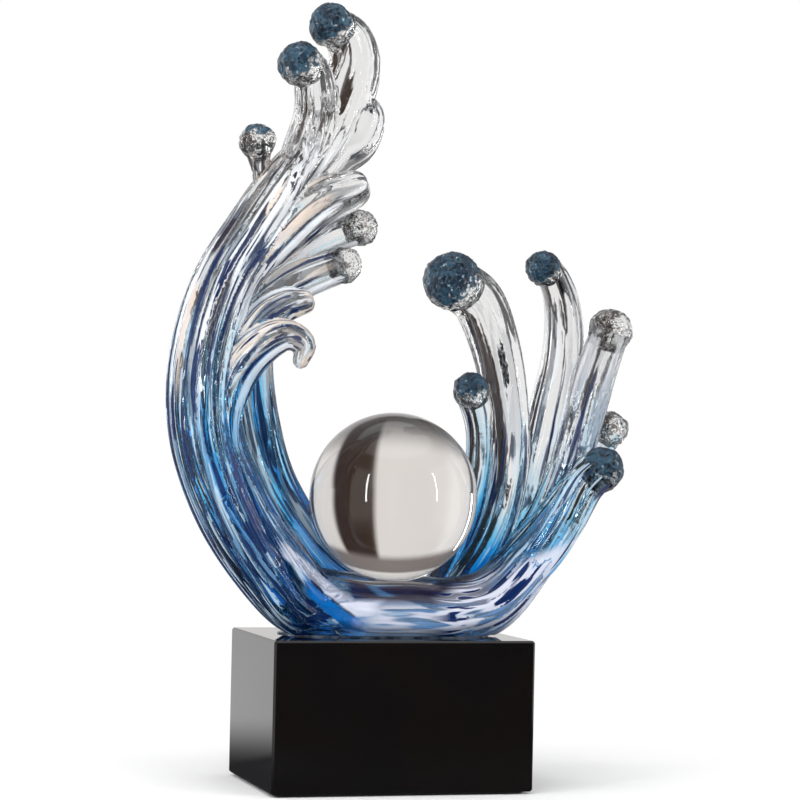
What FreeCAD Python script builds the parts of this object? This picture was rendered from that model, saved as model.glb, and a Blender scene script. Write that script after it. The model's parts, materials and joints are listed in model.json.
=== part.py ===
"""A breaking glass wave on a black plinth, cradling a loose crystal ball. Millimetres, +Z up, front towards -Y.

The origin is the middle of the plinth's underside, on the surface that the sculpture stands on.
"""

import FreeCAD
import Part
import math
import os

from FreeCAD import Vector
from dataclasses import dataclass

# Plinth: a solid black block on a felt sheet.
PLINTH_WIDTH = 156.0
PLINTH_DEPTH = 112.0
PLINTH_HEIGHT = 87.5
PLINTH_BEVEL = 1.2
FELT_THICKNESS = 1.5
FELT_INSET = 4.0
FELT_CORNER_RADIUS = 5.0

# Adhesive bed between the plinth and the wave's flat foot.
BED_THICKNESS = 0.8

# Crystal ball and the thin clear ring that it sits on.
BALL_RADIUS = 50.0
BALL_OFFSET_X = 6.0
BALL_LIFT_ANGLE = 45.0
BALL_CLEARANCE = 0.3
BALL_WAY_CLEARANCE = 1.0
SEAT_RING_THICKNESS = 1.0
SEAT_RING_INNER_RADIUS = 10.0
SEAT_RING_OUTER_RADIUS = 15.0

# Wave: how far it reaches past the ball on either side, how deep it is, and how high it rises.
SIDE_REACH = 92.0
WAVE_DEPTH = 96.0
WAVE_RISE = 377.0
CRADLE_THICKNESS = 29.5

# Half the thickness of each main swell, in the plane of the wave and across it.
CRADLE_HALF_HEIGHT = 22.5
CRADLE_HALF_DEPTH = 42.0
RIDGE_HALF_WIDTH = 21.0
RIDGE_HALF_DEPTH = 27.0
SHEET_HALF_WIDTH = 20.0
SHEET_HALF_DEPTH = 15.0
RIGHT_SWELL_HALF_WIDTH = 17.0
RIGHT_SWELL_HALF_DEPTH = 30.0

# Broad flutes that run along the left ridge: how many go round it, and how deep the hollows between them are.
RIDGE_FLUTES = 7
FLUTE_DEPTH = 3.2

# Thickest radius of each curl of the crest and of each finger.
CURL_RADIUS = 15.5
SLIM_CURL_RADIUS = 11.0
FINGER_RADIUS = 13.0
SLIM_FINGER_RADIUS = 9.0

# Radii of the frosted bulbs at the strands' ends.
LARGE_TIP_RADIUS = 18.5
MEDIUM_TIP_RADIUS = 14.0
SMALL_TIP_RADIUS = 11.5

# How far a cutting solid runs past what it cuts.
OVERRUN = 5.0

# How level a face lies where it counts as flat.
FLATNESS = 0.01

# How finely a strand's skin is laid: points round each oval, and the degree of the curve from oval to oval.
OVAL_POINTS = 8
LOFT_DEGREE = 3

# Span and heights that follow from the sizes above.
WAVE_SPAN = 2 * (BALL_RADIUS + SIDE_REACH)
PLINTH_TOP = FELT_THICKNESS + PLINTH_HEIGHT
WAVE_FOOT = PLINTH_TOP + BED_THICKNESS
CRADLE_TOP = WAVE_FOOT + CRADLE_THICKNESS
BALL_CENTRE = Vector(
    BALL_OFFSET_X, 0, CRADLE_TOP + SEAT_RING_THICKNESS + BALL_CLEARANCE + BALL_RADIUS
)
LIFT_DIRECTION = Vector(
    0, -math.cos(math.radians(BALL_LIFT_ANGLE)), math.sin(math.radians(BALL_LIFT_ANGLE))
)

# How far each oval of a round end lies past the route's last point, as a share of the strand's half width there.
DOME_SHARES = [0.50, 0.80, 0.95]

# Routes from the cradle outwards. Each point is a share of the span across, of the depth from front to back,
# of the rise above the plinth, and of the strand's own half width.
CRADLE_SHARES = [
    (-0.225, 0.00, 0.040, 0.50),
    (-0.16, 0.00, 0.036, 0.84),
    (-0.07, 0.00, 0.036, 1.00),
    (0.02, 0.00, 0.036, 1.00),
    (0.11, 0.00, 0.036, 1.00),
    (0.20, 0.00, 0.038, 0.80),
    (0.255, 0.00, 0.045, 0.45),
]
RIDGE_SHARES = [
    (-0.06, -0.06, 0.040, 0.70),
    (-0.175, -0.08, 0.062, 1.05),
    (-0.260, -0.10, 0.118, 1.15),
    (-0.33, -0.10, 0.198, 1.14),
    (-0.382, -0.08, 0.295, 1.08),
    (-0.395, -0.06, 0.385, 1.04),
    (-0.38, -0.04, 0.470, 1.00),
    (-0.345, -0.02, 0.550, 0.95),
    (-0.29, 0.00, 0.620, 0.92),
    (-0.232, 0.02, 0.690, 0.85),
    (-0.19, 0.03, 0.745, 0.60),
    (-0.17, 0.04, 0.775, 0.30),
]
SHEET_SHARES = [
    (-0.02, 0.18, 0.055, 0.75),
    (-0.11, 0.20, 0.098, 0.95),
    (-0.185, 0.21, 0.163, 1.00),
    (-0.245, 0.21, 0.240, 1.00),
    (-0.28, 0.20, 0.325, 1.00),
    (-0.295, 0.18, 0.400, 0.97),
    (-0.29, 0.16, 0.475, 0.85),
    (-0.27, 0.13, 0.535, 0.50),
]
RIGHT_SWELL_SHARES = [
    (0.10, -0.04, 0.040, 0.75),
    (0.17, -0.05, 0.052, 0.90),
    (0.25, -0.06, 0.082, 1.00),
    (0.325, -0.06, 0.130, 1.00),
    (0.385, -0.06, 0.188, 0.90),
    (0.427, -0.05, 0.242, 0.66),
    (0.452, -0.04, 0.280, 0.32),
]
CREST_TOP_SHARES = [
    (-0.175, 0.05, 0.700, 0.85),
    (-0.118, 0.08, 0.785, 1.00),
    (-0.088, 0.10, 0.848, 1.10),
    (-0.075, 0.08, 0.900, 1.04),
    (-0.096, 0.03, 0.938, 0.92),
    (-0.138, -0.03, 0.953, 0.80),
]
CREST_LEFT_SHARES = [
    (-0.225, 0.00, 0.690, 0.90),
    (-0.185, 0.00, 0.755, 0.92),
    (-0.166, -0.01, 0.810, 0.88),
    (-0.170, -0.04, 0.850, 0.82),
    (-0.183, -0.08, 0.876, 0.76),
    (-0.210, -0.12, 0.886, 0.70),
]
CREST_BUD_SHARES = [
    (-0.262, 0.00, 0.630, 0.90),
    (-0.272, 0.00, 0.675, 0.66),
    (-0.281, -0.01, 0.718, 0.46),
    (-0.289, -0.02, 0.765, 0.62),
]
CREST_LOBE_SHARES = [
    (-0.21, 0.08, 0.660, 0.80),
    (-0.17, 0.10, 0.710, 0.95),
    (-0.115, 0.12, 0.755, 1.00),
    (-0.067, 0.10, 0.782, 0.95),
    (-0.050, 0.05, 0.818, 0.72),
    (-0.068, 0.01, 0.840, 0.45),
]
CREST_FIRST_SHARES = [
    (-0.28, -0.06, 0.580, 0.85),
    (-0.215, -0.08, 0.637, 0.95),
    (-0.155, -0.11, 0.675, 0.95),
    (-0.105, -0.14, 0.692, 0.85),
    (-0.088, -0.15, 0.694, 0.60),
]
CREST_SECOND_SHARES = [
    (-0.27, 0.04, 0.535, 1.00),
    (-0.19, 0.03, 0.592, 1.00),
    (-0.12, 0.00, 0.621, 0.92),
    (-0.068, -0.02, 0.638, 0.88),
]
CREST_THIRD_SHARES = [
    (-0.30, -0.06, 0.487, 1.00),
    (-0.23, -0.08, 0.535, 1.00),
    (-0.16, -0.10, 0.562, 1.00),
    (-0.108, -0.12, 0.576, 0.92),
]
CREST_FOURTH_SHARES = [
    (-0.335, -0.13, 0.425, 0.90),
    (-0.283, -0.17, 0.483, 1.00),
    (-0.237, -0.19, 0.509, 0.92),
    (-0.205, -0.21, 0.515, 0.72),
]
CREST_BREAKER_SHARES = [
    (-0.36, -0.13, 0.320, 0.95),
    (-0.335, -0.20, 0.400, 1.15),
    (-0.288, -0.25, 0.447, 1.10),
    (-0.238, -0.28, 0.463, 0.86),
    (-0.203, -0.30, 0.448, 0.64),
    (-0.211, -0.31, 0.425, 0.45),
]
FINGER_TALL_SHARES = [
    (0.14, 0.10, 0.053, 0.82),
    (0.22, 0.12, 0.117, 0.92),
    (0.27, 0.13, 0.197, 1.02),
    (0.288, 0.13, 0.294, 1.06),
    (0.272, 0.10, 0.390, 1.12),
    (0.241, 0.06, 0.470, 1.19),
    (0.196, 0.00, 0.531, 1.25),
    (0.132, -0.08, 0.559, 1.28),
]
FINGER_MIDDLE_SHARES = [
    (0.24, 0.23, 0.067, 0.82),
    (0.32, 0.25, 0.148, 0.92),
    (0.364, 0.25, 0.246, 1.20),
    (0.392, 0.23, 0.344, 1.20),
    (0.414, 0.21, 0.442, 1.03),
    (0.406, 0.17, 0.530, 0.88),
    (0.378, 0.12, 0.574, 0.76),
    (0.352, 0.08, 0.588, 0.66),
]
FINGER_OUTER_SHARES = [
    (0.27, 0.06, 0.069, 0.82),
    (0.357, 0.08, 0.158, 0.92),
    (0.413, 0.08, 0.247, 0.97),
    (0.445, 0.06, 0.337, 0.97),
    (0.468, 0.02, 0.418, 1.00),
    (0.493, -0.04, 0.490, 1.05),
]
FINGER_SHORT_SHARES = [
    (0.12, 0.10, 0.070, 0.90),
    (0.185, 0.18, 0.141, 0.92),
    (0.222, 0.20, 0.229, 0.95),
    (0.220, 0.12, 0.325, 0.95),
    (0.188, 0.02, 0.388, 1.00),
]
FINGER_REAR_SHARES = [
    (0.33, 0.23, 0.092, 0.82),
    (0.41, 0.25, 0.173, 0.88),
    (0.47, 0.25, 0.256, 0.84),
    (0.503, 0.23, 0.305, 0.82),
    (0.528, 0.21, 0.332, 0.80),
]
FINGER_FRONT_SHARES = [
    (0.235, -0.20, 0.058, 0.74),
    (0.318, -0.24, 0.122, 0.92),
    (0.37, -0.27, 0.185, 1.00),
    (0.41, -0.29, 0.240, 1.00),
    (0.446, -0.31, 0.266, 1.00),
]


@dataclass
class Strand:
    """One lobe of the casting: its route, its half width and half depth, and how it ends."""

    route_shares: list
    half_width: float
    half_depth: float
    tip_radius: float = 0
    rounded: bool = False
    flutes: int = 0


# Every strand, in the order in which each is cut back by those before it.
STRANDS = {
    "cradle": Strand(CRADLE_SHARES, CRADLE_HALF_HEIGHT, CRADLE_HALF_DEPTH),
    "left_ridge": Strand(RIDGE_SHARES, RIDGE_HALF_WIDTH, RIDGE_HALF_DEPTH, flutes=RIDGE_FLUTES),
    "left_inner_sheet": Strand(SHEET_SHARES, SHEET_HALF_WIDTH, SHEET_HALF_DEPTH),
    "right_swell": Strand(RIGHT_SWELL_SHARES, RIGHT_SWELL_HALF_WIDTH, RIGHT_SWELL_HALF_DEPTH),
    "crest_curl_top": Strand(CREST_TOP_SHARES, CURL_RADIUS, CURL_RADIUS, MEDIUM_TIP_RADIUS),
    "crest_curl_left": Strand(CREST_LEFT_SHARES, CURL_RADIUS, CURL_RADIUS, MEDIUM_TIP_RADIUS),
    "crest_bud": Strand(CREST_BUD_SHARES, SLIM_CURL_RADIUS, SLIM_CURL_RADIUS, SMALL_TIP_RADIUS),
    "crest_lobe": Strand(CREST_LOBE_SHARES, CURL_RADIUS, CURL_RADIUS, rounded=True),
    "crest_curl_first": Strand(CREST_FIRST_SHARES, CURL_RADIUS, CURL_RADIUS, rounded=True),
    "crest_curl_second": Strand(CREST_SECOND_SHARES, SLIM_CURL_RADIUS, SLIM_CURL_RADIUS, SMALL_TIP_RADIUS),
    "crest_curl_third": Strand(CREST_THIRD_SHARES, SLIM_CURL_RADIUS, SLIM_CURL_RADIUS, SMALL_TIP_RADIUS),
    "crest_curl_fourth": Strand(CREST_FOURTH_SHARES, SLIM_CURL_RADIUS, SLIM_CURL_RADIUS, rounded=True),
    "crest_breaker": Strand(CREST_BREAKER_SHARES, SLIM_CURL_RADIUS, SLIM_CURL_RADIUS, rounded=True),
    "finger_tall": Strand(FINGER_TALL_SHARES, FINGER_RADIUS, FINGER_RADIUS, LARGE_TIP_RADIUS),
    "finger_front": Strand(FINGER_FRONT_SHARES, FINGER_RADIUS, FINGER_RADIUS, MEDIUM_TIP_RADIUS),
    "finger_outer": Strand(FINGER_OUTER_SHARES, FINGER_RADIUS, FINGER_RADIUS, MEDIUM_TIP_RADIUS),
    "finger_middle": Strand(FINGER_MIDDLE_SHARES, FINGER_RADIUS, FINGER_RADIUS, SMALL_TIP_RADIUS),
    "finger_short": Strand(FINGER_SHORT_SHARES, SLIM_FINGER_RADIUS, SLIM_FINGER_RADIUS, SMALL_TIP_RADIUS),
    "finger_rear": Strand(FINGER_REAR_SHARES, FINGER_RADIUS, FINGER_RADIUS, SMALL_TIP_RADIUS),
}


def place(shares):
    """The point that one row of a route's shares stands for."""
    across, back, up = shares[:3]
    return Vector(across * WAVE_SPAN, back * WAVE_DEPTH, PLINTH_TOP + up * WAVE_RISE)


def oval(centre, tangent, half_width, half_depth, flutes=0, flute_depth=0):
    """A closed oval square to tangent: half_width lies in the wave's plane, half_depth across it."""
    sideways = Vector(0, 1, 0).cross(tangent).normalize()
    across = tangent.cross(sideways).normalize()
    points = []
    count = 2 * flutes or OVAL_POINTS
    for i in range(count):
        turn = math.tau * i / count
        hollow = flute_depth * (i % 2) if flutes else 0
        side_part = (half_width - hollow) * math.cos(turn)
        back_part = (half_depth - hollow) * math.sin(turn)
        points.append(centre + sideways * side_part + across * back_part)
    curve = Part.BSplineCurve()
    curve.interpolate(points, PeriodicFlag=True)
    return Part.Wire(curve.toShape())


def swell(strand):
    """The strand's solid, lofted through ovals along its route, with a round end where it has one."""
    points = [place(shares) for shares in strand.route_shares]
    ovals = []
    for i, shares in enumerate(strand.route_shares):
        before = points[max(i - 1, 0)]
        after = points[min(i + 1, len(points) - 1)]
        tangent = (after - before).normalize()
        half_width = strand.half_width * shares[3]
        half_depth = strand.half_depth * shares[3]
        ovals.append(oval(points[i], tangent, half_width, half_depth, strand.flutes, FLUTE_DEPTH * shares[3]))
    if strand.rounded:
        for share in DOME_SHARES:
            narrowing = math.sqrt(1 - share * share)
            centre = points[-1] + tangent * (half_width * share)
            ovals.append(oval(centre, tangent, half_width * narrowing, half_depth * narrowing))
    return Part.makeLoft(ovals, True, False, False, LOFT_DEGREE)


def largest_solid(shape):
    """The biggest solid of a cut shape, without the crumbs that a cut can leave beside it."""
    return max(shape.Solids, key=lambda solid: solid.Volume)


def cut_back(shape, tools):
    """What is left of shape where none of the tools is."""
    for tool in tools:
        if shape.BoundBox.intersect(tool.BoundBox):
            shape = largest_solid(shape.cut(tool))
    return shape


def plinth():
    """The black block, with a small bevel along every edge."""
    corner = Vector(-PLINTH_WIDTH / 2, -PLINTH_DEPTH / 2, FELT_THICKNESS)
    block = Part.makeBox(PLINTH_WIDTH, PLINTH_DEPTH, PLINTH_HEIGHT, corner)
    return block.makeChamfer(PLINTH_BEVEL, block.Edges)


def base_felt():
    """The felt sheet under the block, set in from its sides, with round corners."""
    width = PLINTH_WIDTH - 2 * FELT_INSET
    depth = PLINTH_DEPTH - 2 * FELT_INSET
    sheet = Part.makeBox(width, depth, FELT_THICKNESS, Vector(-width / 2, -depth / 2, 0))
    upright_edges = [edge for edge in sheet.Edges if edge.BoundBox.ZLength > FLATNESS]
    return sheet.makeFillet(FELT_CORNER_RADIUS, upright_edges)


def adhesive_bed(feet):
    """The thin bed of glue: each flat foot's face, carried down to the plinth's top."""
    beds = []
    for shape in feet:
        for face in shape.Faces:
            if abs(face.BoundBox.ZMax - WAVE_FOOT) < FLATNESS and face.BoundBox.ZLength < FLATNESS:
                beds.append(face.extrude(Vector(0, 0, -BED_THICKNESS)))
    return beds[0].multiFuse(beds[1:]).removeSplitter()


def ball_way():
    """The room for the ball: at rest, and along the straight way by which it lifts out."""
    radius = BALL_RADIUS + BALL_WAY_CLEARANCE
    way = Part.makeCylinder(radius, WAVE_RISE, BALL_CENTRE, LIFT_DIRECTION)
    return Part.makeSphere(radius, BALL_CENTRE).fuse(way)


def room_under_foot():
    """Everything below the wave's flat foot."""
    side = WAVE_SPAN + 2 * OVERRUN
    return Part.makeBox(side, side, WAVE_FOOT + OVERRUN, Vector(-side / 2, -side / 2, -OVERRUN))


def frosted_tips():
    """A round bulb on the end of each strand that has one."""
    tips = {}
    for name, strand in STRANDS.items():
        if strand.tip_radius:
            bulb = Part.makeSphere(strand.tip_radius, place(strand.route_shares[-1]))
            tips["tip_of_" + name] = cut_back(bulb, tips.values())
    return tips


def wave():
    """Every strand and bulb, each cut back to where it meets those before it."""
    tips = frosted_tips()
    kept_clear = [room_under_foot(), ball_way()] + list(tips.values())
    strands = {}
    for name, strand in STRANDS.items():
        strands[name] = cut_back(cut_back(swell(strand), kept_clear), strands.values())
    return {**strands, **tips}


def seat_space():
    """The dish that the seat ring fills: a slightly larger ball's underside, out to the ring's rim."""
    dish = Part.makeSphere(BALL_RADIUS + BALL_CLEARANCE + SEAT_RING_THICKNESS, BALL_CENTRE)
    column = Part.makeCylinder(SEAT_RING_OUTER_RADIUS, BALL_RADIUS + OVERRUN, BALL_CENTRE, Vector(0, 0, -1))
    return dish.common(column)


def ball_seat():
    """The clear ring between the cradle and the ball."""
    hollow = Part.makeSphere(BALL_RADIUS + BALL_CLEARANCE, BALL_CENTRE)
    bore = Part.makeCylinder(SEAT_RING_INNER_RADIUS, BALL_RADIUS + OVERRUN, BALL_CENTRE, Vector(0, 0, -1))
    return seat_space().cut(hollow).cut(bore)


def crystal_ball():
    """The loose, solid ball."""
    return Part.makeSphere(BALL_RADIUS, BALL_CENTRE)


def main():
    """Builds every piece and writes one file for each."""
    os.makedirs("parts", exist_ok=True)
    parts = wave()
    parts["adhesive_bed"] = adhesive_bed([parts["cradle"], parts["left_ridge"], parts["right_swell"]])
    parts["cradle"] = parts["cradle"].cut(seat_space())
    parts["plinth"] = plinth()
    parts["base_felt"] = base_felt()
    parts["ball_seat"] = ball_seat()
    parts["crystal_ball"] = crystal_ball()
    for name, shape in parts.items():
        print(name, "valid:", shape.isValid(), "solids:", len(shape.Solids), "volume:", round(shape.Volume))
        shape.exportStep("parts/" + name + ".step")


if __name__ == "__main__":
    main()
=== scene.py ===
"""Dresses a glass wave sculpture: a cast, fluted wave with frosted tips and a crystal ball on a black plinth.

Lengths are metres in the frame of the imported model: +X to the viewer's right, +Y to the back, +Z up.
"""

from __future__ import annotations

import json
import logging
import math
import random
from collections.abc import Callable
from dataclasses import dataclass, field, replace
from enum import Enum

import bpy
import numpy as np
from mathutils import Matrix, Vector, kdtree

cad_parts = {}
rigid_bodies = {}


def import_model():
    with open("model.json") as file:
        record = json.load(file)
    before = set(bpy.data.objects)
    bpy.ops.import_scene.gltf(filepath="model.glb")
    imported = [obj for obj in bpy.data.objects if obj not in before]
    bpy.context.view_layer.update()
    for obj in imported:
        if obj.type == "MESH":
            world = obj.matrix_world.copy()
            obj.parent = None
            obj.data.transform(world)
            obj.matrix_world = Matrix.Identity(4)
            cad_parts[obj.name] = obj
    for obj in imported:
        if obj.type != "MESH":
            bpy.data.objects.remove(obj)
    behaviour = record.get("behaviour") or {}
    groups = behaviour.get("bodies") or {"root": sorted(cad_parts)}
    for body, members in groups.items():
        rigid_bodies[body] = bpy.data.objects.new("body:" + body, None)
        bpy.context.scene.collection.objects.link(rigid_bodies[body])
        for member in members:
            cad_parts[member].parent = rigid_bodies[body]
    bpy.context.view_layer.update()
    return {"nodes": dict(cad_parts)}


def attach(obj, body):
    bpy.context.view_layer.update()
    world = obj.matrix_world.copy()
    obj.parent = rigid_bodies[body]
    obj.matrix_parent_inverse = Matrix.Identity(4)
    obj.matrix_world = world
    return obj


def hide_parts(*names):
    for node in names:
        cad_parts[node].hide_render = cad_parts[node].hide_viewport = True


MM = 0.001
LOG = logging.getLogger("glass_wave")


# Wave space and the routes of its strands

SPAN = 284 * MM
DEPTH = 96 * MM
RISE = 377 * MM
PLINTH_TOP = 89 * MM
WAVE_FOOT = 89.8 * MM
BALL_CENTRE = Vector((6 * MM, 0, 170.6 * MM))
BALL_RADIUS = 50 * MM
BALL_ROOM = 0.7 * MM
LIFT_DIRECTION = Vector((0, -1, 1)).normalized()
BACKWARDS = Vector((0, 1, 0))

# Each row of a route is a share of the span, of the depth and of the rise, then half widths in millimetres,
# in the plane of the wave and across it.
RIDGE_ROUTE = [
    (-0.060, -0.06, 0.040, 15.0, 19.0),
    (-0.178, -0.08, 0.052, 22.8, 29.0),
    (-0.260, -0.10, 0.118, 24.0, 31.0),
    (-0.330, -0.10, 0.198, 24.0, 31.0),
    (-0.382, -0.08, 0.295, 22.7, 29.0),
    (-0.395, -0.06, 0.385, 21.8, 28.0),
    (-0.380, -0.04, 0.470, 21.0, 27.0),
    (-0.345, -0.02, 0.550, 20.0, 25.6),
    (-0.290, 0.00, 0.620, 19.3, 24.8),
    (-0.232, 0.02, 0.690, 17.8, 23.0),
    (-0.190, 0.03, 0.745, 12.6, 16.2),
    (-0.170, 0.04, 0.775, 6.3, 8.1),
]
KEEL_ROUTE = [
    (0.450, -0.04, 0.280, 5.0, 9.0),
    (0.424, -0.05, 0.240, 10.5, 18.0),
    (0.375, -0.06, 0.180, 14.5, 26.0),
    (0.310, -0.06, 0.120, 16.5, 30.0),
    (0.222, -0.05, 0.053, 20.0, 33.5),
    (0.130, -0.02, 0.034, 21.8, 38.5),
    (0.040, 0.00, 0.036, 22.4, 42.0),
    (-0.050, 0.00, 0.037, 22.4, 42.0),
    (-0.125, -0.03, 0.045, 22.0, 38.0),
]
SHEET_ROUTE = [
    (-0.020, 0.18, 0.055, 15.0, 11.0),
    (-0.110, 0.20, 0.098, 19.0, 14.0),
    (-0.185, 0.21, 0.163, 20.0, 15.0),
    (-0.245, 0.21, 0.240, 20.0, 15.0),
    (-0.280, 0.20, 0.325, 20.0, 15.0),
    (-0.295, 0.18, 0.400, 19.4, 14.5),
    (-0.290, 0.16, 0.475, 17.0, 12.5),
    (-0.270, 0.13, 0.535, 10.0, 7.5),
]


@dataclass(frozen=True)
class Lobe:
    """One curl of the crest, or one finger.

    Args:
        route: Its own rows: span, depth and rise shares, then its radius in millimetres.
        lane: Where it runs in the ridge: share across at the foot, share across where it leaves.
        leaves: The last ridge row that it follows, or 0 for a finger.
        flutes: How many flutes go round it.
        twist: Turns that its flutes make about it along the whole route.
        rounded: Whether it ends in a dome of its own.
    """

    route: tuple
    lane: tuple = (0.0, 0.0)
    leaves: int = 0
    flutes: int = 10
    twist: float = 0.0
    rounded: bool = False


CURLS = {
    "crest_curl_top": Lobe(
        ((-0.118, 0.08, 0.785, 15.5), (-0.088, 0.10, 0.848, 17.0), (-0.075, 0.08, 0.900, 16.1),
         (-0.096, 0.03, 0.938, 14.3), (-0.138, -0.03, 0.953, 12.4)),
        lane=(-0.30, 0.55), leaves=9, flutes=11, twist=0.10),
    "crest_curl_left": Lobe(
        ((-0.185, 0.00, 0.755, 14.3), (-0.166, -0.01, 0.810, 13.6), (-0.170, -0.04, 0.850, 12.7),
         (-0.183, -0.08, 0.876, 11.8), (-0.210, -0.12, 0.886, 10.8)),
        lane=(-0.55, 0.05), leaves=9, flutes=11, twist=-0.12),
    "crest_bud": Lobe(
        ((-0.272, 0.00, 0.675, 7.6), (-0.281, -0.01, 0.718, 5.3), (-0.289, -0.02, 0.765, 7.0)),
        lane=(-0.72, 0.10), leaves=8, flutes=7),
    "crest_lobe": Lobe(
        ((-0.170, 0.10, 0.710, 14.7), (-0.115, 0.12, 0.755, 15.5), (-0.067, 0.10, 0.782, 14.7),
         (-0.050, 0.05, 0.818, 11.2), (-0.068, 0.01, 0.840, 7.0)),
        lane=(-0.05, 0.60), leaves=8, flutes=9, twist=0.25, rounded=True),
    "crest_curl_first": Lobe(
        ((-0.215, -0.08, 0.637, 14.7), (-0.155, -0.11, 0.675, 14.7), (-0.105, -0.14, 0.692, 12.6)),
        lane=(0.15, 0.60), leaves=7, flutes=9, twist=0.12, rounded=True),
    "crest_curl_second": Lobe(
        ((-0.190, 0.03, 0.592, 11.0), (-0.120, 0.00, 0.621, 10.1), (-0.068, -0.02, 0.638, 9.7)),
        lane=(0.35, 0.90), leaves=6, flutes=8),
    "crest_curl_third": Lobe(
        ((-0.230, -0.08, 0.535, 11.0), (-0.160, -0.10, 0.562, 11.0), (-0.108, -0.12, 0.576, 10.1)),
        lane=(0.45, 0.85), leaves=6, flutes=8),
    "crest_curl_fourth": Lobe(
        ((-0.283, -0.17, 0.483, 11.0), (-0.237, -0.19, 0.509, 10.1), (-0.205, -0.21, 0.515, 7.9)),
        lane=(0.62, 0.70), leaves=5, flutes=8, rounded=True),
    "crest_breaker": Lobe(
        ((-0.335, -0.20, 0.400, 12.6), (-0.288, -0.25, 0.447, 12.1), (-0.238, -0.28, 0.463, 9.5),
         (-0.203, -0.30, 0.448, 7.0), (-0.211, -0.31, 0.425, 5.0)),
        lane=(0.78, 0.45), leaves=4, flutes=8, twist=0.15, rounded=True),
}
FINGERS = {
    "finger_tall": Lobe(
        ((0.04, 0.04, 0.030, 8.0), (0.14, 0.10, 0.053, 10.7), (0.22, 0.12, 0.117, 12.0),
         (0.27, 0.13, 0.197, 13.3), (0.288, 0.13, 0.294, 13.8), (0.272, 0.10, 0.390, 14.6),
         (0.241, 0.06, 0.470, 15.5), (0.196, 0.00, 0.531, 16.3), (0.132, -0.08, 0.559, 16.6)),
        flutes=7, twist=0.08),
    "finger_front": Lobe(
        ((0.12, -0.12, 0.030, 8.0), (0.235, -0.20, 0.058, 9.6), (0.318, -0.24, 0.122, 12.0),
         (0.37, -0.27, 0.185, 13.0), (0.41, -0.29, 0.240, 13.0), (0.446, -0.31, 0.266, 13.0)),
        flutes=7, twist=-0.08),
    "finger_outer": Lobe(
        ((0.15, 0.02, 0.030, 8.0), (0.27, 0.06, 0.069, 10.7), (0.357, 0.08, 0.158, 12.0),
         (0.413, 0.08, 0.247, 12.6), (0.445, 0.06, 0.337, 12.6), (0.468, 0.02, 0.418, 13.0),
         (0.493, -0.04, 0.490, 13.6)),
        flutes=7, twist=0.06),
    "finger_middle": Lobe(
        ((0.12, 0.18, 0.035, 8.0), (0.24, 0.23, 0.067, 10.7), (0.32, 0.25, 0.148, 12.0),
         (0.364, 0.25, 0.246, 15.6), (0.392, 0.23, 0.344, 15.6), (0.414, 0.21, 0.442, 13.4),
         (0.406, 0.17, 0.530, 11.4), (0.378, 0.12, 0.574, 9.9), (0.352, 0.08, 0.588, 8.6)),
        flutes=7, twist=-0.06),
    "finger_short": Lobe(
        ((0.03, 0.05, 0.040, 6.0), (0.12, 0.10, 0.070, 8.1), (0.185, 0.18, 0.141, 8.3),
         (0.222, 0.20, 0.229, 8.6), (0.220, 0.12, 0.325, 8.6), (0.188, 0.02, 0.388, 9.0)),
        flutes=7),
    "finger_rear": Lobe(
        ((0.20, 0.18, 0.045, 8.0), (0.33, 0.23, 0.092, 10.7), (0.41, 0.25, 0.173, 11.4),
         (0.47, 0.25, 0.256, 10.9), (0.503, 0.23, 0.305, 10.7), (0.528, 0.21, 0.332, 10.4)),
        flutes=6, twist=0.05),
}
WAVE_NODES = ["cradle", "left_ridge", "left_inner_sheet", "right_swell", *CURLS, *FINGERS]
FRONT_CURLS = ("crest_curl_fourth", "crest_breaker")


def place(row: tuple) -> np.ndarray:
    """The point, in metres, that one row of a route stands for."""
    return np.array([row[0] * SPAN, row[1] * DEPTH, PLINTH_TOP + row[2] * RISE])


def unit(vectors: np.ndarray) -> np.ndarray:
    """The vectors, one to a row, each made 1 long."""
    return vectors / np.linalg.norm(vectors, axis=1)[:, None]


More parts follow.
